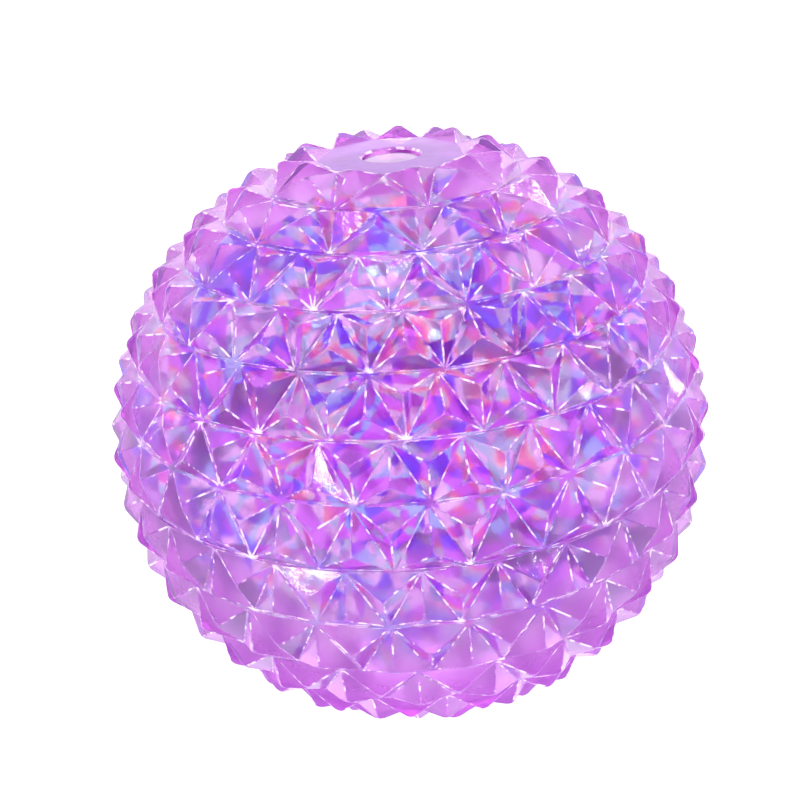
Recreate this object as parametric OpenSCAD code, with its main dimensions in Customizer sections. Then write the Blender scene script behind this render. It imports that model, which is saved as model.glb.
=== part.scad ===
// Squishy ball: a hollow soft rubber ball, moulded all over with three-sided pyramids,
// with strips of iridescent film loose inside and a round stopper bonded into the neck at the top.
// Millimetres. The foot stands on Z = 0 and the stopper is straight above it, on +Z.
// The photographed side faces -Y.

/* [Ball] */

// Diameter over the pyramid tips
ball_d = 100; // [80:1:120]

// Height of a pyramid's tip above the sphere that its corners lie on
pyramid_h = 2.4; // [1.6:0.1:4]

// Wall between the corner sphere and the hollow
wall = 3; // [2:0.1:4.5]

// Width of the groove between two rows of pyramids, in degrees of latitude
groove_angle = 1; // [0.8:0.1:2.4]

/* [Foot] */

// Diameter of the flat foot under the ball
foot_d = 19; // [14:0.5:20]

// How far the foot stands out below the lowest pyramid tips
foot_proud = 0.3; // [0.1:0.1:1]

/* [Neck and stopper] */

// Diameter of the stopper's stem
plug_d = 9; // [7:0.5:11]

// Rubber around the neck's bore
neck_wall = 2.6; // [2:0.1:3.5]

// Length of the neck, from the flat top inwards
neck_l = 8; // [6:0.5:11]

// Glue line between the stopper and the neck
glue_gap = 0.05; // [0.03:0.01:0.1]

// Depth of the stopper's edge below the flat top
plug_sink = 0.8; // [0.3:0.1:1.6]

// Depth of the dish in the stopper's top
dish_h = 1.2; // [0.6:0.1:1.8]

// Width of the flat rim around the dish
dish_rim = 0.6; // [0.3:0.1:1.2]

// How far the stopper's inner lip reaches past the bore
lip_w = 1.4; // [0.8:0.1:2]

// Thickness of the stopper's inner lip
lip_h = 1.6; // [1:0.1:2.4]

/* [Film] */

// Thickness of the film strips
film_t = 0.2; // [0.1:0.05:0.4]

// Width of the film strips
film_w = 28; // [14:1:30]

// Depth of the crumples in the film
film_crumple = 2.6; // [1:0.1:3]

// Gap between the hollow's wall and the outermost strips, and between strips that cross
film_gap = 0.3; // [0.2:0.05:0.6]

// How far the crumples of strips that cross nest into one another
film_nest = 0.25; // [0:0.05:0.3]

/* [Hidden] */

$fn = 96;

// Latitude of the flat top's edge, of the middle of each groove, and of the foot end
ring_lat = [76, 65, 55, 44, 33.5, 22.5, 12, 0, -12, -25, -37.5, -50, -63, -76];

// Pyramids that point up in each row, from the top row down; as many point down between them
row_count = [9, 13, 20, 24, 26, 28, 28, 28, 26, 23, 20, 14, 9];

// Turn of each row about the upright axis
row_turn = [-6, -7, 6, 0, 6, -4, 2, 0, -6, -2, 4, -5, 7];

// Layer, slope, turn about the upright axis, start and length of arc of each film strip.
// The two strips of a layer lie along one ring; the layers cross, each inside the last.
film_layer = [0, 0, 1, 1, 2, 2, 3, 3];
film_tilt = [60, 60, 22, 22, 44, 44, 44, 44];
film_turn = [185, 185, 185, 185, 60, 60, 310, 310];
film_start = [8, 188, 8, 190, 120, 301, 240, 61];
film_arc = [164, 162, 164, 162, 165, 163, 160, 163];

// Steps from crease to crease along and across a strip
film_columns = 20;
film_rows = 4;

tip_r = ball_d / 2;
valley_r = tip_r - pyramid_h;
hollow_r = valley_r - wall;
last_row = len(row_count) - 1;

// Each row keeps half a groove back from the ring above it and from the ring below it
function upper_lat(row) = ring_lat[row] - (row > 0 ? groove_angle / 2 : 0);
function lower_lat(row) = ring_lat[row + 1] + (row < last_row ? groove_angle / 2 : 0);
function row_step(row) = 360 / row_count[row];

// A point at a latitude and longitude; longitude 0 is -Y and grows towards +X
function on_ball(r, lat, lon) = [r * cos(lat) * sin(lon), -r * cos(lat) * cos(lon), r * sin(lat)];
function upper_point(row, i) = on_ball(valley_r, upper_lat(row), row_turn[row] + i * row_step(row));
function lower_point(row, i) = on_ball(valley_r, lower_lat(row), row_turn[row] + (i + 0.5) * row_step(row));

// The tip stands over the middle of its three corners
function tip_over(a, b, c) = tip_r * (a + b + c) / norm(a + b + c);
function down_tip(row, i) = tip_over(upper_point(row, i), upper_point(row, i + 1), lower_point(row, i));
function up_tip(row, i) = tip_over(upper_point(row, i), lower_point(row, i), lower_point(row, i - 1));

// Points are numbered row by row: upper corners, lower corners, down tips, up tips
function row_start(row) = row == 0 ? 0 : row_start(row - 1) + 4 * row_count[row - 1];
function wrap(row, i) = (i + 2 * row_count[row]) % row_count[row];
function upper(row, i) = row_start(row) + wrap(row, i);
function lower(row, i) = row_start(row) + row_count[row] + wrap(row, i);
function down(row, i) = row_start(row) + 2 * row_count[row] + wrap(row, i);
function up(row, i) = row_start(row) + 3 * row_count[row] + wrap(row, i);

// Three faces from the corners a, b and c to the tip t
function pyramid(a, b, c, t) = [[a, b, t], [b, c, t], [c, a, t]];

// The corner of the next row's upper ring nearest to a longitude, and of this row's lower ring
function nearest_upper(row, lon) = round((lon - row_turn[row]) / row_step(row));
function nearest_lower(row, lon) = round((lon - row_turn[row]) / row_step(row) - 0.5);

ball_points = [
  for (row = [0:last_row]) each concat(
    [for (i = [0:row_count[row] - 1]) upper_point(row, i)],
    [for (i = [0:row_count[row] - 1]) lower_point(row, i)],
    [for (i = [0:row_count[row] - 1]) down_tip(row, i)],
    [for (i = [0:row_count[row] - 1]) up_tip(row, i)]
  )
];

down_faces = [
  for (row = [0:last_row]) for (i = [0:row_count[row] - 1])
    each pyramid(upper(row, i), upper(row, i + 1), lower(row, i), down(row, i))
];

up_faces = [
  for (row = [0:last_row]) for (i = [0:row_count[row] - 1])
    each pyramid(upper(row, i), lower(row, i), lower(row, i - 1), up(row, i))
];

// A groove is stitched between two rings that have different numbers of corners
groove_top_faces = [
  for (row = [0:last_row - 1]) for (i = [0:row_count[row] - 1])
    let (lon = row_turn[row] + (i + 1) * row_step(row))
    [lower(row, i), lower(row, i + 1), upper(row + 1, nearest_upper(row + 1, lon))]
];

groove_bottom_faces = [
  for (row = [1:last_row]) for (i = [0:row_count[row] - 1])
    let (lon = row_turn[row] + (i + 0.5) * row_step(row))
    [lower(row - 1, nearest_lower(row - 1, lon)), upper(row, i + 1), upper(row, i)]
];

flat_top_face = [for (i = [row_count[0] - 1:-1:0]) upper(0, i)];
flat_bottom_face = [for (i = [0:row_count[last_row] - 1]) lower(last_row, i)];

ball_faces = concat(
  down_faces, up_faces, groove_top_faces, groove_bottom_faces, [flat_top_face], [flat_bottom_face]
);

// Heights from the ball's middle
flat_top_z = valley_r * sin(ring_lat[0]);
flat_bottom_z = valley_r * sin(ring_lat[last_row + 1]);
lowest_tip_z = min([for (i = [0:row_count[last_row] - 1]) min(up_tip(last_row, i)[2], down_tip(last_row, i)[2])]);
foot_z = lowest_tip_z - foot_proud;
neck_z = flat_top_z - neck_l;

// The ball's middle stands this far above the table
middle_z = -foot_z;

bore_r = plug_d / 2 + glue_gap;
neck_r = bore_r + neck_wall;
plug_top_z = flat_top_z - plug_sink;
lip_z = neck_z - glue_gap - lip_h;
dish_r = plug_d / 2 - dish_rim;
dish_ball_r = (dish_r * dish_r + dish_h * dish_h) / (2 * dish_h);

layer_step = film_crumple + film_gap - film_nest;
film_corners = (film_columns + 1) * (film_rows + 1);

function film_radius(i) = hollow_r - film_gap - film_layer[i] * layer_step;
function film_half(i) = asin(film_w / 2 / film_radius(i));

// A number from 0 to 1 that looks random and is always the same for the same n
function chance(n) = let (v = 977 * sin(137.508 * n)) v - floor(v);

// A corner between facets of film: its place along, across and in depth is a little off the even grid
function corner_number(column, row) = column * (film_rows + 1) + row;
function film_corner(i, column, row, inwards) =
  let (
    n = 3 * (i * film_corners + corner_number(column, row)),
    lon = film_start[i] + film_arc[i] * (column + (chance(n) - 0.5) / 2) / film_columns,
    lat = film_half(i) * (2 * (row + (chance(n + 1) - 0.5) / 2) / film_rows - 1),
    r = film_radius(i) - film_crumple * chance(n + 2) - inwards
  )
  [r * cos(lat) * cos(lon), r * cos(lat) * sin(lon), r * sin(lat)];

function film_points(i) = [
  for (inwards = [0, film_t]) for (column = [0:film_columns]) for (row = [0:film_rows])
    film_corner(i, column, row, inwards)
];

// Each step of the grid is creased along its shorter diagonal
function facet_pair(p, a, b, c, d) =
  norm(p[a] - p[c]) <= norm(p[b] - p[d]) ? [[a, d, c], [a, c, b]] : [[a, d, b], [b, d, c]];
function film_outside(p) = [
  for (column = [0:film_columns - 1]) for (row = [0:film_rows - 1])
    each facet_pair(
      p,
      corner_number(column, row),
      corner_number(column + 1, row),
      corner_number(column + 1, row + 1),
      corner_number(column, row + 1)
    )
];
function film_edge(a, b) = [a, b, b + film_corners, a + film_corners];
function film_faces(p) =
  let (outside = film_outside(p), columns = [0:film_columns - 1], rows = [0:film_rows - 1])
  concat(
    outside,
    [for (f = outside) [f[2] + film_corners, f[1] + film_corners, f[0] + film_corners]],
    [for (column = columns) film_edge(corner_number(column, 0), corner_number(column + 1, 0))],
    [for (column = columns) film_edge(corner_number(column + 1, film_rows), corner_number(column, film_rows))],
    [for (row = rows) film_edge(corner_number(0, row + 1), corner_number(0, row))],
    [for (row = rows) film_edge(corner_number(film_columns, row), corner_number(film_columns, row + 1))]
  );

// How far one solid reaches into another where they join or cut
overlap = 1;

module shell() {
  color([0.76, 0.45, 0.9, 0.6])
    translate([0, 0, middle_z])
      difference() {
        union() {
          polyhedron(ball_points, ball_faces);
          translate([0, 0, foot_z])
            cylinder(d = foot_d, h = flat_bottom_z - foot_z + overlap);
        }
        difference() {
          sphere(hollow_r);
          translate([0, 0, neck_z])
            cylinder(r = neck_r, h = neck_l);
        }
        translate([0, 0, neck_z - overlap])
          cylinder(r = bore_r, h = neck_l + 2 * overlap);
      }
}

// Stem with a dished top, and a lip that holds it behind the neck
module plug() {
  color([0.8, 0.55, 0.92, 0.7])
    translate([0, 0, middle_z])
      difference() {
        union() {
          translate([0, 0, lip_z])
            cylinder(d = plug_d, h = plug_top_z - lip_z);
          translate([0, 0, lip_z])
            cylinder(d1 = plug_d, d2 = plug_d + 2 * lip_w, h = lip_h);
        }
        translate([0, 0, plug_top_z - dish_h + dish_ball_r])
          sphere(dish_ball_r);
      }
}

// A strip of film, crumpled into flat facets, that lies along the inside of the ball
module film_strip(i) {
  points = film_points(i);
  color([0.62, 0.72, 0.98, 0.5])
    translate([0, 0, middle_z])
      rotate([0, 0, film_turn[i]])
        rotate([film_tilt[i], 0, 0])
          polyhedron(points, film_faces(points));
}

module film_1() film_strip(0);
module film_2() film_strip(1);
module film_3() film_strip(2);
module film_4() film_strip(3);
module film_5() film_strip(4);
module film_6() film_strip(5);
module film_7() film_strip(6);
module film_8() film_strip(7);

shell();
plug();
film_1();
film_2();
film_3();
film_4();
film_5();
film_6();
film_7();
film_8();
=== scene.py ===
# %% [markdown]
# # A squishy ball with iridescent film inside
# The real ball is one hollow moulding of clear lilac rubber, covered all over with small three-sided
# pyramids. Strips of iridescent film lie loose inside it, and a round stopper closes the neck at the
# top through which they went in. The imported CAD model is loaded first, as the fixed frame. Every new
# piece is modelled in metres in that same frame, so nothing has to be fitted afterwards.

# %% Load the frame
import bmesh
import bpy
from math import asin, cos, degrees, floor, radians, sin, sqrt
from mathutils import Matrix, Vector


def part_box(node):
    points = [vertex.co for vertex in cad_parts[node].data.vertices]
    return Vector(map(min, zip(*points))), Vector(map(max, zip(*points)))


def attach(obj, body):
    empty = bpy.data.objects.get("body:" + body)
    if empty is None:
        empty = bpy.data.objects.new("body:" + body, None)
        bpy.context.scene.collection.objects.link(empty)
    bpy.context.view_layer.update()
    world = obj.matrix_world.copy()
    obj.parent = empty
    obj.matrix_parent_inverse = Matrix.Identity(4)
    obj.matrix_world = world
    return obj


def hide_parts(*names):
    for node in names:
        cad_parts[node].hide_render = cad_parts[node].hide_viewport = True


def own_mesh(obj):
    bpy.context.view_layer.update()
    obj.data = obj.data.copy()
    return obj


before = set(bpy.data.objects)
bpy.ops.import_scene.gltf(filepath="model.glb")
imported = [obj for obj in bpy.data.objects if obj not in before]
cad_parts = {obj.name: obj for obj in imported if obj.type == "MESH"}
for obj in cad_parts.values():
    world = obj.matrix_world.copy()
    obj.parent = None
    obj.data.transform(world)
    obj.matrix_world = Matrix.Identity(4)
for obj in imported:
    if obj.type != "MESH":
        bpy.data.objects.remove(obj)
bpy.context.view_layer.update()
print("CAD nodes:", sorted(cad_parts))

# %% [markdown]
# ## Sizes
# The pyramids stand in rows round the ball, like the courses of bricks in a dome. Each row runs between
# two rings of corners, and a shallow groove parts it from the next row. The sizes repeat the ones of the
# CAD model, except for the groove, which is a little narrower here, as in the photo. The frame gives the
# height of the ball's middle, from the top of the stopper, which lies a little below the flat top.

# %% Sizes of the ball
MM = 0.001
SAME_PLACE = 0.001 * MM
TIP_R = 50 * MM
CORNER_R = 47.6 * MM
HOLLOW_R = 44.6 * MM
VALLEY = 0.12 * MM
GROOVE_WITH_VALLEYS = 0.6
GROOVE = GROOVE_WITH_VALLEYS - 2 * degrees(VALLEY / CORNER_R)
PLUG_SINK = 0.8 * MM
RING_LATITUDE = [76, 65, 55, 44, 33.5, 22.5, 12, 0, -12, -25, -37.5, -50, -63, -76]
ROW_COUNT = [9, 13, 20, 24, 26, 28, 28, 28, 26, 23, 20, 14, 9]
ROW_TURN = [-6, -7, 6, 0, 6, -4, 2, 0, -6, -2, 4, -5, 7]
LAST_ROW = len(ROW_COUNT) - 1
stopper_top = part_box("plug")[1].z
MIDDLE = Vector((0, 0, stopper_top + PLUG_SINK - CORNER_R * sin(radians(RING_LATITUDE[0]))))

upper_latitude = [latitude - GROOVE / 2 for latitude in RING_LATITUDE[:-1]]
upper_latitude[0] = RING_LATITUDE[0]
lower_latitude = [latitude + GROOVE / 2 for latitude in RING_LATITUDE[1:]]
lower_latitude[LAST_ROW] = RING_LATITUDE[-1]
print("rows:", len(ROW_COUNT), "pyramids:", 2 * sum(ROW_COUNT), "middle at", round(MIDDLE.z / MM, 3), "mm")

# %% [markdown]
# ## The rows of the ball
# A ring of corners is a plain circle with as many vertices as the row has pyramids that point up. Two
# circles half a step out of turn are bridged into a band of slanted quads, and the shorter diagonal of
# each quad gives the triangles that the pyramids stand on. Modelling one pyramid and copying it 536
# times would need as many different shapes, because each row has its own width.

# %% Selecting by place, and the first ring
def choose(kind, test):
    """Selects, in edit mode, only the vertices, edges or faces that pass the test."""
    bpy.ops.mesh.select_mode(type=kind)
    bpy.ops.mesh.select_all(action="DESELECT")
    mesh = bmesh.from_edit_mesh(bpy.context.object.data)
    parts = {"VERT": mesh.verts, "EDGE": mesh.edges, "FACE": mesh.faces}[kind]
    for part in [part for part in parts if test(part)]:
        part.select_set(True)
    mesh.select_flush_mode()
    bmesh.update_edit_mesh(bpy.context.object.data)


def height(latitude):
    return MIDDLE.z + CORNER_R * sin(radians(latitude))


def at_height(vertex, *heights):
    return any(abs(vertex.co.z - level) < SAME_PLACE for level in heights)


def add_ring(count, latitude, longitude):
    """A ring of corners. Longitude 0 is the photographed side, -Y; a new circle starts at +Y."""
    bpy.ops.mesh.primitive_circle_add(
        vertices=count,
        radius=CORNER_R * cos(radians(latitude)),
        location=(0, 0, height(latitude)),
        rotation=(0, 0, radians(longitude - 180)),
    )


bpy.ops.object.select_all(action="DESELECT")
add_ring(ROW_COUNT[0], upper_latitude[0], ROW_TURN[0])
ball = bpy.context.object
ball.name = "rubber_ball"
ball.data.name = "rubber_ball"
bpy.ops.object.transform_apply(location=True, rotation=True, scale=True)
print("first ring:", len(ball.data.vertices), "corners")

# %% The bands of triangles
bpy.ops.object.mode_set(mode="EDIT")
for row, count in enumerate(ROW_COUNT):
    if row:
        add_ring(count, upper_latitude[row], ROW_TURN[row])
    add_ring(count, lower_latitude[row], ROW_TURN[row] + 180 / count)
    row_top = height(upper_latitude[row])
    row_foot = height(lower_latitude[row])
    choose("VERT", lambda corner: at_height(corner, row_top, row_foot))
    bpy.ops.mesh.bridge_edge_loops()

bpy.ops.mesh.select_mode(type="FACE")
bpy.ops.mesh.select_all(action="SELECT")
bpy.ops.mesh.quads_convert_to_tris(quad_method="SHORTEST_DIAGONAL")
print("triangles in the bands:", len(bmesh.from_edit_mesh(ball.data).faces))

# %% [markdown]
# ## Grooves and flat ends
# Bridging the lower ring of one row to the upper ring of the next one makes the groove between them,
# also where the two rings have different numbers of corners. The two end rings are filled flat. The
# body is then closed, so its normals can safely be turned outwards before the pyramids rise along them.

# %% Grooves and flat ends
for row in range(LAST_ROW):
    groove_top = height(lower_latitude[row])
    groove_foot = height(upper_latitude[row + 1])
    choose("VERT", lambda corner: at_height(corner, groove_top, groove_foot))
    bpy.ops.mesh.bridge_edge_loops()

FLAT_TOP_Z = height(RING_LATITUDE[0])
FLAT_FOOT_Z = height(RING_LATITUDE[-1])
for flat in (FLAT_TOP_Z, FLAT_FOOT_Z):
    choose("VERT", lambda corner: at_height(corner, flat))
    bpy.ops.mesh.edge_face_add()

bpy.ops.mesh.select_all(action="SELECT")
bpy.ops.mesh.normals_make_consistent(inside=False)
print("flat top at", round(FLAT_TOP_Z / MM, 2), "mm, flat foot at", round(FLAT_FOOT_Z / MM, 2), "mm")

# %% [markdown]
# ## The pyramids
# Poke puts a vertex over the middle of every selected face, which is just what a pyramid is. A row's
# triangles come in two kinds, those that stand on their long side and those that hang from it. They lie
# at slightly different depths, so each kind gets the rise that brings its tips out to the same sphere.

# %% Poke each row's two kinds of triangle
for row in range(LAST_ROW + 1):
    row_top = height(upper_latitude[row])
    row_foot = height(lower_latitude[row])
    for share in (1 / 3, 2 / 3):
        level = row_foot + (row_top - row_foot) * share
        choose(
            "FACE",
            lambda face: len(face.verts) == 3
            and abs(face.calc_center_median().z - level) < SAME_PLACE
            and all(at_height(corner, row_top, row_foot) for corner in face.verts),
        )
        bpy.ops.mesh.inset(thickness=VALLEY, use_individual=True)
        mesh = bmesh.from_edit_mesh(ball.data)
        depths = [(face.calc_center_median() - MIDDLE).length for face in mesh.faces if face.select]
        rise = TIP_R - sum(depths) / len(depths)
        bpy.ops.mesh.poke(offset=rise, use_relative_offset=False, center_mode="MEDIAN")
    print("row", row + 1, "pyramids", 2 * len(depths), "rise", round(rise / MM, 2), "mm")

# %% [markdown]
# ## Marking the valleys
# Where two pyramids meet, the material paints thin pale dashes of highlight, where real glints would
# catch the lamps, and dents them with a small bump. The inset faces round each pyramid lie just there, so
# they are marked now, by place, with a number on each face that the material reads later. The ridges and
# the inside of the wall are marked in the same way.

# %% Marking the narrow valleys between the pyramids
def mark_chosen(name):
    """Writes 1 into a face attribute for the faces selected in edit mode. Other faces keep what they have."""
    mesh = bmesh.from_edit_mesh(bpy.context.object.data)
    mark = mesh.faces.layers.float.get(name)
    if mark is None:
        mark = mesh.faces.layers.float.new(name)
    for face in mesh.faces:
        if face.select:
            face[mark] = 1
    bmesh.update_edit_mesh(bpy.context.object.data)
    print("faces marked as", name + ":", sum(face.select for face in mesh.faces), "of", len(mesh.faces))


def reach(corner):
    """How far a vertex lies from the ball's middle."""
    return (corner.co - MIDDLE).length


VALLEY_HIGH = CORNER_R + 0.1 * MM
ring_heights = [height(latitude) for latitude in upper_latitude + lower_latitude]
# The valley faces get the material's painted pale highlight dashes.
choose(
    "FACE",
    lambda face: all(reach(corner) < VALLEY_HIGH for corner in face.verts)
    and not all(at_height(corner, *ring_heights) for corner in face.verts),
)
mark_chosen("valley")
bpy.ops.object.mode_set(mode="OBJECT")

# %% [markdown]
# ## The foot, the hollow and the neck
# The mould leaves a low round foot under the ball, so that it stands. A short cylinder is joined on with
# a Boolean. The wall is about three millimetres thick under the grooves. The hollow is a sphere, less a
# stub of rubber that hangs down from the flat top: the neck. All cuts come before any edge is rounded,
# because a Boolean is surest on a body with plain, sharp faces.

# %% Applying a modifier, and the foot
def finish_with(piece, kind, **settings):
    """Adds a modifier with its settings to a piece and applies it at once."""
    bpy.ops.object.select_all(action="DESELECT")
    piece.select_set(True)
    bpy.context.view_layer.objects.active = piece
    modifier = piece.modifiers.new(kind.title(), kind)
    for name, value in settings.items():
        setattr(modifier, name, value)
    bpy.ops.object.modifier_apply(modifier=modifier.name)


def cut_or_join(piece, tool, operation):
    """A Boolean with another mesh, which is used up by it."""
    finish_with(piece, "BOOLEAN", object=tool, operation=operation, solver="EXACT")
    bpy.data.objects.remove(tool)


FOOT_R = 9.5 * MM
OVERLAP = 1 * MM
foot_height = FLAT_FOOT_Z + OVERLAP
bpy.ops.object.select_all(action="DESELECT")
bpy.ops.mesh.primitive_cylinder_add(
    vertices=72, radius=FOOT_R, depth=foot_height, location=(0, 0, foot_height / 2)
)
cut_or_join(ball, bpy.context.object, "UNION")
print("ball with its foot:", len(ball.data.polygons), "faces")

# %% The hollow and the neck
BORE_R = 4.55 * MM
NECK_R = 7.15 * MM
NECK_DEPTH = 8 * MM
NECK_FOOT_Z = FLAT_TOP_Z - NECK_DEPTH

bpy.ops.object.select_all(action="DESELECT")
bpy.ops.mesh.primitive_uv_sphere_add(segments=144, ring_count=72, radius=HOLLOW_R, location=MIDDLE)
hollow = bpy.context.object
bpy.ops.object.transform_apply(location=True, rotation=True, scale=True)
neck_length = 1.5 * NECK_DEPTH
bpy.ops.mesh.primitive_cylinder_add(
    vertices=96, radius=NECK_R, depth=neck_length, location=(0, 0, NECK_FOOT_Z + neck_length / 2)
)
cut_or_join(hollow, bpy.context.object, "DIFFERENCE")
cut_or_join(ball, hollow, "DIFFERENCE")
print("hollow ball:", len(ball.data.polygons), "faces")

# %% [markdown]
# The neck's bore is cut last, with a tool that flares at its mouth, because the edge of a moulded hole is
# rounded as well. The tool's own faces are marked as ridges, so that the mouth of the bore gets the same
# painted pale highlight streaks.

# %% The bore, with a flared mouth
FLARE = 0.35 * MM
bore_foot = NECK_FOOT_Z - OVERLAP
bore_top = FLAT_TOP_Z - FLARE
bpy.ops.object.select_all(action="DESELECT")
bpy.ops.mesh.primitive_cylinder_add(
    vertices=96, radius=BORE_R, depth=bore_top - bore_foot, location=(0, 0, (bore_top + bore_foot) / 2)
)
bore = bpy.context.object
bpy.ops.object.transform_apply(location=True, rotation=True, scale=True)
bpy.ops.object.mode_set(mode="EDIT")
for rise in (FLARE, OVERLAP):
    choose("FACE", lambda face: face.normal.z > 0.9)
    bpy.ops.mesh.extrude_region_move(TRANSFORM_OT_translate={"value": (0, 0, rise)})
    if rise == FLARE:
        wider = (BORE_R + FLARE) / BORE_R
        bpy.ops.transform.resize(value=(wider, wider, 1), center_override=(0, 0, FLAT_TOP_Z))
# The tool's side faces get the ridges' painted pale highlight dashes.
choose("FACE", lambda face: abs(face.normal.z) < 0.9)
mark_chosen("ridge")
bpy.ops.object.mode_set(mode="OBJECT")
cut_or_join(ball, bore, "DIFFERENCE")
print("ball with its bore:", len(ball.data.polygons), "faces")

# %% [markdown]
# ## Blunt tips and rounded ridges
# In the photo the outline of the ball is a soft wave, not a saw: the rubber never quite fills the deepest
# points of the mould. So every tip is cut back and rounded with a vertex bevel. Then every ridge is
# bevelled, by a fifth of a millimetre or as far as the smallest faces allow before they overlap: soft rubber
# never leaves the mould with a knife edge, and these small rounds catch the thin white lines of light. The
# valleys stay sharp, because there the mould has the ridges. A Bevel modifier would round both, so the
# ridges, which run from a corner up to a tip, are selected by place and angle and bevelled in edit mode.

# %% Blunt tips
TIP_ROUND = 1.5 * MM
TIP_LOW = TIP_R - 0.3 * MM
bpy.ops.object.mode_set(mode="EDIT")
choose("VERT", lambda corner: reach(corner) > TIP_LOW)
bpy.ops.mesh.bevel(affect="VERTICES", offset_type="OFFSET", offset=TIP_ROUND, segments=3, profile=0.5)
print("blunt tips:", len(bmesh.from_edit_mesh(ball.data).faces), "faces")

# %% Rounded ridges
RIDGE_ROUND = 0.2 * MM
RIDGE_LOW = CORNER_R - 0.4 * MM
RIDGE_HIGH = CORNER_R + 0.5 * MM
RIDGE_ANGLE = radians(20)
INSIDE_R = HOLLOW_R + 1.5 * MM


def is_ridge(edge):
    """A ridge runs from a corner ring up to a blunt tip."""
    low, high = sorted(reach(corner) for corner in edge.verts)
    return RIDGE_LOW < low < RIDGE_HIGH < high and edge.is_convex and edge.calc_face_angle(0) > RIDGE_ANGLE


choose("EDGE", is_ridge)
bpy.ops.mesh.bevel(offset_type="OFFSET", offset=RIDGE_ROUND, segments=3, profile=0.5, clamp_overlap=True)
# The rounded ridges get the material's painted pale highlight dashes.
mark_chosen("ridge")
choose("FACE", lambda face: face.normal.z > 0.98 and at_height(face.verts[0], FLAT_TOP_Z))
mark_chosen("flat")
choose("FACE", lambda face: all(reach(corner) < INSIDE_R for corner in face.verts))
mark_chosen("inside")
bpy.ops.object.mode_set(mode="OBJECT")
bpy.ops.object.shade_smooth_by_angle(angle=radians(32))
finish_with(ball, "WEIGHTED_NORMAL", mode="FACE_AREA", weight=80, keep_sharp=True)
ball.data.calc_loop_triangles()
print("finished ball:", len(ball.data.loop_triangles), "triangles")

# %% [markdown]
# ## The stopper
# A small rubber plug is pushed into the neck after the film and bonded there. It has a straight stem, a
# lip that widens behind the neck and a shallow dish in its top. It starts as a cone for the lip; its top
# face is inset and pulled up into the stem, inset again for the rim, and then stepped down into the dish.

# %% The stopper
PLUG_R = 4.5 * MM
LIP_W = 1.4 * MM
LIP_H = 1.6 * MM
DISH_R = PLUG_R - 0.6 * MM
DISH_H = 1.2 * MM
DISH_STEPS = 8
plug_top = FLAT_TOP_Z - PLUG_SINK
lip_top = NECK_FOOT_Z - 0.05 * MM

bpy.ops.object.select_all(action="DESELECT")
bpy.ops.mesh.primitive_cone_add(
    vertices=72, radius1=PLUG_R, radius2=PLUG_R + LIP_W, depth=LIP_H, location=(0, 0, lip_top - LIP_H / 2)
)
stopper = bpy.context.object
stopper.name = "rubber_stopper"
stopper.data.name = "rubber_stopper"
bpy.ops.object.transform_apply(location=True, rotation=True, scale=True)
bpy.ops.object.mode_set(mode="EDIT")
choose("FACE", lambda face: face.normal.z > 0.9)
bpy.ops.mesh.inset(thickness=LIP_W)
bpy.ops.mesh.extrude_region_move(TRANSFORM_OT_translate={"value": (0, 0, plug_top - lip_top)})
bpy.ops.mesh.inset(thickness=PLUG_R - DISH_R)

dish_ball_r = (DISH_R**2 + DISH_H**2) / (2 * DISH_H)
ring_r = DISH_R
sunk = 0
for step in range(1, DISH_STEPS):
    next_r = DISH_R * (1 - step / DISH_STEPS)
    next_sunk = sqrt(dish_ball_r**2 - next_r**2) - (dish_ball_r - DISH_H)
    bpy.ops.mesh.extrude_region_move(TRANSFORM_OT_translate={"value": (0, 0, sunk - next_sunk)})
    bpy.ops.transform.resize(value=(next_r / ring_r, next_r / ring_r, 1), center_override=(0, 0, plug_top))
    ring_r = next_r
    sunk = next_sunk
bpy.ops.object.mode_set(mode="OBJECT")
finish_with(stopper, "BEVEL", width=0.2 * MM, segments=3, limit_method="ANGLE", angle_limit=radians(28))
bpy.ops.object.mode_set(mode="EDIT")
rim_foot = plug_top - 0.15 * MM
choose("FACE", lambda face: face.normal.z < 0.5 and all(corner.co.z < rim_foot for corner in face.verts))
mark_chosen("inside")
bpy.ops.object.mode_set(mode="OBJECT")
bpy.ops.object.shade_smooth_by_angle(angle=radians(40))
print("stopper top at", round(plug_top / MM, 2), "mm, dish", round(sunk / MM, 2), "mm deep")

# %% [markdown]
# ## The film strips
# The film is a thin clear plastic with a coating that splits light into colours. It goes in as strips,
# which spring open against the wall of the hollow and crumple into flat facets with sharp creases. Two
# strips lie along one ring, and four such rings cross, each a little inside the last. A strip starts as a
# grid. Every corner of the grid is then put a little off its even place, along, across and in depth, and
# each square is creased along its shorter diagonal. Last, the strip gets the film's thickness. The CAD
# strips are crumpled by the same rule, so both have the same facets. A cloth simulation would give soft
# folds, and film has none.

# %% Sizes of the film, and its chance numbers
FILM_W = 28 * MM
FILM_T = 0.2 * MM
FILM_CRUMPLE = 2.6 * MM
FILM_GAP = 0.3 * MM
FILM_NEST = 0.25 * MM
LAYER_STEP = FILM_CRUMPLE + FILM_GAP - FILM_NEST
FILM_LAYER = [0, 0, 1, 1, 2, 2, 3, 3]
FILM_TILT = [60, 60, 22, 22, 44, 44, 44, 44]
FILM_TURN = [185, 185, 185, 185, 60, 60, 310, 310]
FILM_START = [8, 188, 8, 190, 120, 301, 240, 61]
FILM_ARC = [164, 162, 164, 162, 165, 163, 160, 163]
COLUMNS = 20
ROWS = 4


def chance(number):
    """A number from 0 to 1 that looks random and is always the same for the same number."""
    value = 977 * sin(radians(137.508 * number))
    return value - floor(value)


def layer_radius(index):
    """The outer radius of the layer that a strip lies in."""
    return HOLLOW_R - FILM_GAP - FILM_LAYER[index] * LAYER_STEP


print("strips of film at", [round(layer_radius(index) / MM, 2) for index in range(len(FILM_LAYER))], "mm")

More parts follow.
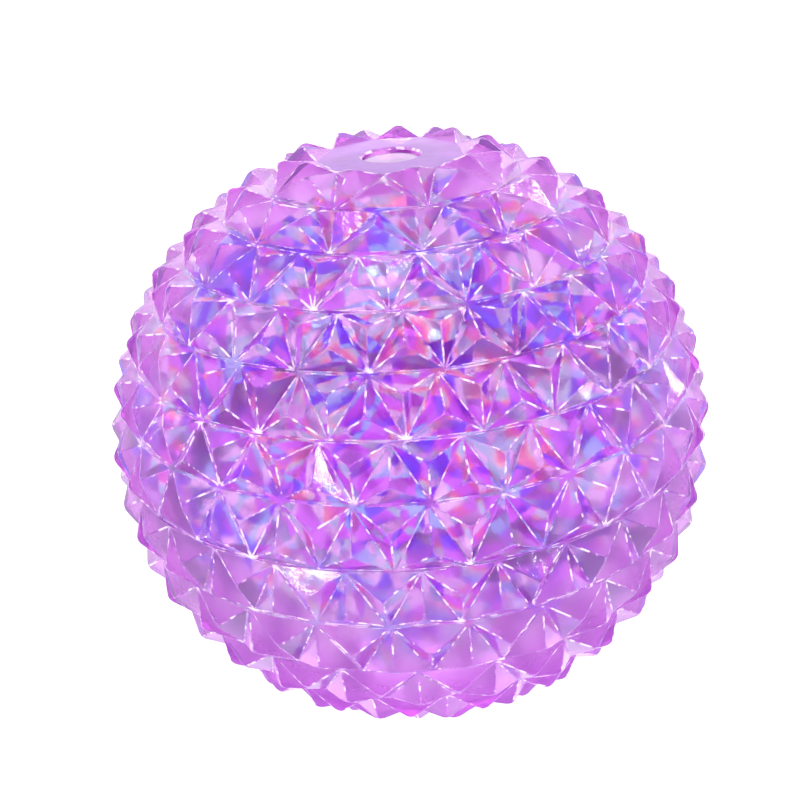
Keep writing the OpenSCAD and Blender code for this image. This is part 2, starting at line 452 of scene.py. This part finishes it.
# %% Crumple each strip and put it in its place
def crumpled_strip(index):
    """A grid whose corners are moved to their crumpled places round the hollow, then turned to its slope."""
    radius = layer_radius(index)
    half_width = asin(FILM_W / 2 / radius)
    bpy.ops.object.select_all(action="DESELECT")
    bpy.ops.mesh.primitive_grid_add(x_subdivisions=COLUMNS, y_subdivisions=ROWS, size=2)
    strip = bpy.context.object
    strip.name = f"film_strip_{index + 1}"
    strip.data.name = strip.name
    for corner in strip.data.vertices:
        column = round((corner.co.x + 1) / 2 * COLUMNS)
        row = round((corner.co.y + 1) / 2 * ROWS)
        number = 3 * ((index * (COLUMNS + 1) + column) * (ROWS + 1) + row)
        along = radians(FILM_START[index] + FILM_ARC[index] * (column + (chance(number) - 0.5) / 2) / COLUMNS)
        across = half_width * (2 * (row + (chance(number + 1) - 0.5) / 2) / ROWS - 1)
        depth = radius - FILM_CRUMPLE * chance(number + 2) - FILM_T / 2
        corner.co = depth * Vector((cos(across) * cos(along), cos(across) * sin(along), sin(across)))
    bpy.ops.object.mode_set(mode="EDIT")
    bpy.ops.mesh.select_all(action="SELECT")
    bpy.ops.mesh.quads_convert_to_tris(quad_method="SHORTEST_DIAGONAL")
    bpy.ops.object.mode_set(mode="OBJECT")
    strip.rotation_euler = (radians(FILM_TILT[index]), 0, radians(FILM_TURN[index]))
    strip.location = MIDDLE
    bpy.ops.object.transform_apply(location=True, rotation=True, scale=True)
    print(strip.name, len(strip.data.polygons), "facets at", round(radius / MM, 2), "mm")
    finish_with(strip, "SOLIDIFY", thickness=FILM_T, offset=0)
    return strip


film_strips = [crumpled_strip(index) for index in range(len(FILM_LAYER))]

# %% [markdown]
# ## Materials
# Colours are written as the hex values that an eye or a colour picker gives, and one function turns them
# to the linear values that shaders work with. One small function adds a node with its settings and links.

# %% Helpers for materials
def colour(hex_value):
    """An sRGB hex colour as linear red, green, blue and alpha."""
    channels = [int(hex_value[place : place + 2], 16) / 255 for place in (1, 3, 5)]
    linear = [c / 12.92 if c <= 0.04045 else ((c + 0.055) / 1.055) ** 2.4 for c in channels]
    return (*linear, 1)


def new_material(name):
    """A material with no nodes in it."""
    material = bpy.data.materials.new(name)
    material.use_nodes = True
    material.node_tree.nodes.clear()
    return material


def add_node(material, kind, settings=None, values=None, links=None):
    """Adds a node, sets its properties and input values, and links outputs of other nodes to its inputs."""
    made = material.node_tree.nodes.new(kind)
    for name, value in (settings or {}).items():
        setattr(made, name, value)
    for name, value in (values or {}).items():
        made.inputs[name].default_value = value
    for name, source in (links or {}).items():
        material.node_tree.links.new(source, made.inputs[name])
    return made


# %% [markdown]
# ### Lilac rubber
# The ball is moulded from a clear thermoplastic rubber (TPR) with a lilac dye. Clear rubber bends light
# a little less than glass does, and its colour comes from the dye all through the wall: thin places are pale
# and long paths are deep purple. So the surface is clear, and a Volume Absorption holds the colour.
#
# Three things keep it from looking like cut glass. The rubber is slightly milky, which a share of an opaque
# lilac surface stands for. In the photo the lowest rows look milkier, and the flat top deeper in colour, so
# the share grows towards the foot and on the flat top. Along the valleys and ridges, pale dashes broken up by
# a noise are painted in as highlights. There the milky surface turns near-white and takes a larger share,
# where real glints would catch the lamps, and a small bump dents the same dashes. And the inside is matt and
# clings to
# the film, so it hardly bends light: with a plain gap of air there, total reflection would hide the film
# beyond two thirds of the way to the outline, and in the photo it shows much further out. Its wide roughness
# leaves the film close behind it clear and blurs the far wall.

# %% Lilac rubber
def clear_rubber(name, milk_colour, milk_share, dye_colour, dye_strength):
    """Clear dyed rubber, a little milky, with painted pale highlight dashes, that hardly bends light on the
    inside.
    """
    material = new_material(name)
    place = add_node(material, "ShaderNodeTexCoord")
    ripple = add_node(
        material,
        "ShaderNodeTexNoise",
        values={"Scale": 1 / (3 * MM), "Detail": 3},
        links={"Vector": place.outputs["Object"]},
    )
    waves = add_node(
        material,
        "ShaderNodeBump",
        values={"Strength": 0.5, "Distance": 0.3 * MM},
        links={"Height": ripple.outputs["Fac"]},
    )
    valley = add_node(material, "ShaderNodeAttribute", settings={"attribute_name": "valley"})
    ridge = add_node(material, "ShaderNodeAttribute", settings={"attribute_name": "ridge"})
    # Valley and ridge faces: where the painted highlight dashes go.
    painted_glint_faces = add_node(
        material,
        "ShaderNodeMath",
        settings={"operation": "MAXIMUM"},
        links={0: valley.outputs["Fac"], 1: ridge.outputs["Fac"]},
    )
    # A noise that breaks the painted highlight dashes into pieces.
    glint_dash_noise = add_node(
        material,
        "ShaderNodeTexNoise",
        values={"Scale": 1 / (1.4 * MM), "Detail": 1},
        links={"Vector": place.outputs["Object"]},
    )
    dashes = add_node(
        material,
        "ShaderNodeMapRange",
        values={"From Min": 0.48, "From Max": 0.62},
        links={"Value": glint_dash_noise.outputs["Fac"]},
    )
    # The dashes: they dent the surface with a small bump and are painted in as pale highlights.
    painted_glints_and_bumps = add_node(
        material,
        "ShaderNodeMath",
        settings={"operation": "MULTIPLY"},
        links={0: dashes.outputs["Result"], 1: painted_glint_faces.outputs["Value"]},
    )
    bump = add_node(
        material,
        "ShaderNodeBump",
        values={"Strength": 0.5, "Distance": 0.2 * MM},
        links={"Height": painted_glints_and_bumps.outputs["Value"], "Normal": waves.outputs["Normal"]},
    )
    inside = add_node(material, "ShaderNodeAttribute", settings={"attribute_name": "inside"})
    outer = add_node(
        material,
        "ShaderNodeBsdfPrincipled",
        values={
            "Base Color": colour("#fdf6ff"),
            "Roughness": 0.1,
            "IOR": 1.43,
            "Transmission Weight": 1,
            "Coat Weight": 0.35,
            "Coat Roughness": 0.04,
        },
        links={"Normal": bump.outputs["Normal"]},
    )
    clinging = add_node(
        material,
        "ShaderNodeBsdfPrincipled",
        values={"Base Color": colour("#fdf6ff"), "Roughness": 0.5, "IOR": 1.08, "Transmission Weight": 1},
    )
    flat = add_node(material, "ShaderNodeAttribute", settings={"attribute_name": "flat"})
    plain_tone = add_node(
        material,
        "ShaderNodeMix",
        settings={"data_type": "RGBA"},
        values={"A": colour(milk_colour), "B": colour("#9c34c4")},
        links={"Factor": flat.outputs["Fac"]},
    )
    # On the dashes the milky colour turns pale near-white: a painted highlight.
    milk_and_painted_glint_tone = add_node(
        material,
        "ShaderNodeMix",
        settings={"data_type": "RGBA"},
        values={"B": colour("#f8e6fd")},
        links={"Factor": painted_glints_and_bumps.outputs["Value"], "A": plain_tone.outputs["Result"]},
    )
    milk = add_node(
        material,
        "ShaderNodeBsdfPrincipled",
        values={"Roughness": 0.35, "IOR": 1.43},
        links={"Base Color": milk_and_painted_glint_tone.outputs["Result"], "Normal": bump.outputs["Normal"]},
    )
    plain_share = add_node(
        material,
        "ShaderNodeMath",
        settings={"operation": "MULTIPLY_ADD"},
        values={1: 0.35, 2: milk_share},
        links={0: flat.outputs["Fac"]},
    )
    level = add_node(material, "ShaderNodeSeparateXYZ", links={"Vector": place.outputs["Object"]})
    footward = add_node(
        material,
        "ShaderNodeMapRange",
        values={"From Min": 34 * MM, "From Max": 14 * MM},
        links={"Value": level.outputs["Z"]},
    )
    lower_share = add_node(
        material,
        "ShaderNodeMath",
        settings={"operation": "MULTIPLY_ADD"},
        values={1: 0.2},
        links={0: footward.outputs["Result"], 2: plain_share.outputs["Value"]},
    )
    # The dashes also get a larger opaque share, so that the painted highlight shows.
    share = add_node(
        material,
        "ShaderNodeMath",
        settings={"operation": "MULTIPLY_ADD"},
        values={1: 0.52},
        links={0: painted_glints_and_bumps.outputs["Value"], 2: lower_share.outputs["Value"]},
    )
    cloudy = add_node(
        material,
        "ShaderNodeMixShader",
        links={0: share.outputs["Value"], 1: outer.outputs["BSDF"], 2: milk.outputs["BSDF"]},
    )
    surface = add_node(
        material,
        "ShaderNodeMixShader",
        links={0: inside.outputs["Fac"], 1: cloudy.outputs["Shader"], 2: clinging.outputs["BSDF"]},
    )
    dye = add_node(
        material, "ShaderNodeVolumeAbsorption", values={"Color": dye_colour, "Density": dye_strength}
    )
    add_node(
        material,
        "ShaderNodeOutputMaterial",
        links={"Surface": surface.outputs["Shader"], "Volume": dye.outputs["Volume"]},
    )
    return material


lilac = clear_rubber("lilac_clear_tpr_rubber", "#cc40ec", 0.22, (0.83, 0.0, 0.85, 1), 54)
ball.data.materials.clear()
ball.data.materials.append(lilac)
pale = clear_rubber("pale_lilac_stopper_rubber", "#f2d4fa", 0.45, (0.76, 0.0, 0.86, 1), 30)
stopper.data.materials.clear()
stopper.data.materials.append(pale)
print("rubber made:", lilac.name, "and", pale.name)

# %% [markdown]
# ### Iridescent film
# The film is a thin plastic whose coating reflects one colour and lets the others through. Which colour
# depends on how each facet leans and on the thickness of the coating. So the lean of the facet, cells of
# five millimetres for its finer crinkles and a slow noise together run round a ring of colours: magenta,
# violet, blue, cyan, white, mint, peach and back. It is a property of the place on the film and not of the
# camera, so it stays put from every side. A mirror finish gives the eye bright, hard-edged patches, and the
# same cells dent it a little, which breaks up the lights in it.

# %% Iridescent film
film = new_material("iridescent_pet_film")
place = add_node(film, "ShaderNodeTexCoord")
facing = add_node(film, "ShaderNodeNewGeometry")
drift = add_node(
    film,
    "ShaderNodeTexNoise",
    values={"Scale": 1 / (9 * MM), "Detail": 1},
    links={"Vector": place.outputs["Object"]},
)
lean = add_node(
    film,
    "ShaderNodeVectorMath",
    settings={"operation": "DOT_PRODUCT"},
    values={1: (1.9, 1.3, 2.4)},
    links={0: facing.outputs["True Normal"]},
)
crinkle = add_node(
    film,
    "ShaderNodeTexVoronoi",
    values={"Scale": 1 / (5 * MM)},
    links={"Vector": place.outputs["Object"]},
)
slope = add_node(
    film,
    "ShaderNodeMath",
    settings={"operation": "MULTIPLY_ADD"},
    values={1: 0.6},
    links={0: crinkle.outputs["Color"], 2: lean.outputs["Value"]},
)
phase = add_node(
    film,
    "ShaderNodeMath",
    settings={"operation": "MULTIPLY_ADD"},
    values={1: 1.0},
    links={0: drift.outputs["Fac"], 2: slope.outputs["Value"]},
)
dents = add_node(
    film,
    "ShaderNodeBump",
    values={"Strength": 0.4, "Distance": 0.5 * MM},
    links={"Height": crinkle.outputs["Distance"]},
)
turns = add_node(
    film,
    "ShaderNodeMath",
    settings={"operation": "FRACT"},
    links={0: phase.outputs["Value"]},
)
bands = add_node(film, "ShaderNodeValToRGB", links={"Fac": turns.outputs["Value"]})
film_bands = [
    (0.00, "#e090fc"),
    (0.22, "#cc6cfc"),
    (0.24, "#8450ff"),
    (0.30, "#5c44ff"),
    (0.32, "#3050ff"),
    (0.41, "#3c70ff"),
    (0.43, "#70e4ff"),
    (0.55, "#b0ffff"),
    (0.57, "#ffffff"),
    (0.73, "#ffffff"),
    (0.75, "#a0ffe8"),
    (0.86, "#d0ffe0"),
    (0.88, "#fff0c0"),
    (0.90, "#ffb498"),
    (0.93, "#ff94a8"),
    (0.95, "#f07cdc"),
    (0.97, "#e090fc"),
]
ramp = bands.color_ramp
ramp.elements.remove(ramp.elements[1])
ramp.elements[0].position = 0
ramp.elements[0].color = colour(film_bands[0][1])
for position, stop in film_bands[1:]:
    ramp.elements.new(position).color = colour(stop)
sheet = add_node(
    film,
    "ShaderNodeBsdfPrincipled",
    values={"Metallic": 0.75, "Roughness": 0.15},
    links={"Base Color": bands.outputs["Color"], "Normal": dents.outputs["Normal"]},
)
add_node(film, "ShaderNodeOutputMaterial", links={"Surface": sheet.outputs["BSDF"]})
for strip in film_strips:
    strip.data.materials.clear()
    strip.data.materials.append(film)
print("film colours:", [stop for position, stop in film_bands])

# %% [markdown]
# ## Joining the pieces to the moving frame
# Squeezed by hand, the ball flattens by up to 28 mm from the top, and the stopper goes down with the flat
# top, which stays as thick as it is. Here the rubber and the film strips are joined to the ball's body and
# the stopper to a body of its own, and each hides the CAD piece that it stands for.

# %% Ride and replace
for number, strip in enumerate(film_strips, start=1):
    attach(strip, "ball")
    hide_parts(f"film_{number}")
    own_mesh(strip)
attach(ball, "ball")
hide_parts("shell")
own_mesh(ball)
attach(stopper, "stopper")
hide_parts("plug")

# %% [markdown]
# ## Floor
# The photo has a pure white ground without a shadow, as on a light table: a white sheet lit from below as
# well as from above. So the floor gives a little light of its own, which also brightens the ball's underside.

# %% Floor
bpy.ops.object.select_all(action="DESELECT")
bpy.ops.mesh.primitive_plane_add(size=4, location=(0, 0, 0))
ground = bpy.context.object
ground.name = "studio_floor"
paper = new_material("white_light_table")
paper_surface = add_node(
    paper,
    "ShaderNodeBsdfPrincipled",
    values={
        "Base Color": colour("#8c8c8c"),
        "Roughness": 0.8,
        "Emission Color": colour("#ffffff"),
        "Emission Strength": 1.18,
    },
)
add_node(paper, "ShaderNodeOutputMaterial", links={"Surface": paper_surface.outputs["BSDF"]})
ground.data.materials.append(paper)
print("floor:", [round(side, 2) for side in ground.dimensions], "m")

# %% [markdown]
# ## Light
# A white room gives the even light. Seven small softboxes stand round the ball, so that from every side a
# few facets catch one and flash white, as they do in the photo. A bigger softbox would whiten whole rows.

# %% Light
scene = bpy.context.scene
scene.view_settings.view_transform = "Standard"
studio = bpy.data.worlds.new("white_studio")
studio.use_nodes = True
studio.node_tree.nodes["Background"].inputs["Color"].default_value = (1, 1, 1, 1)
studio.node_tree.nodes["Background"].inputs["Strength"].default_value = 1.4
scene.world = studio


def softbox(name, place, size, power):
    """A square area light that looks at the ball's middle."""
    bpy.ops.object.light_add(type="AREA", location=place)
    lamp = bpy.context.object
    lamp.name = name
    lamp.data.size = size
    lamp.data.energy = power
    lamp.rotation_euler = (Vector(place) - MIDDLE).to_track_quat("Z", "Y").to_euler()
    return lamp


softbox("top_softbox", (0.05, -0.15, 0.8), 0.06, 0.3)
softbox("left_softbox", (-0.5, -0.5, 0.6), 0.06, 0.5)
softbox("right_softbox", (0.55, -0.45, 0.55), 0.06, 0.5)
softbox("front_softbox", (0.1, -0.8, 0.5), 0.05, 0.12)
softbox("low_left_softbox", (-0.7, -0.4, 0.2), 0.05, 0.14)
softbox("low_right_softbox", (0.75, -0.1, 0.25), 0.05, 0.14)
softbox("back_softbox", (0.0, 0.7, 0.6), 0.06, 0.4)

# %% [markdown]
# ## Camera
# The camera looks down on the ball from close by: the flat top is seen as a narrow ellipse, and the widest
# row of pyramids lies below the middle of the outline. Its height, distance and small roll were found by
# laying the outline and the rows of the model over those of the photo.

# %% Camera
ELEVATION = 25.45
ROLL = -4.14
DISTANCE = 219.5 * MM
lens = bpy.data.cameras.new("photo_camera")
lens.lens = 57.87
lens.sensor_width = 36
lens.shift_x = -0.0131
lens.shift_y = 0.0281
lens.clip_start = 0.01
camera = bpy.data.objects.new("photo_camera", lens)
scene.collection.objects.link(camera)
back = Vector((0, -cos(radians(ELEVATION)), sin(radians(ELEVATION))))
camera.location = MIDDLE + DISTANCE * back
upright = back.to_track_quat("Z", "Y").to_matrix().to_4x4()
camera.rotation_euler = (upright @ Matrix.Rotation(radians(ROLL), 4, "Z")).to_euler()
scene.camera = camera
print("camera:", round(camera.location.z / MM, 1), "mm up,", round(DISTANCE / MM, 1), "mm from the middle")
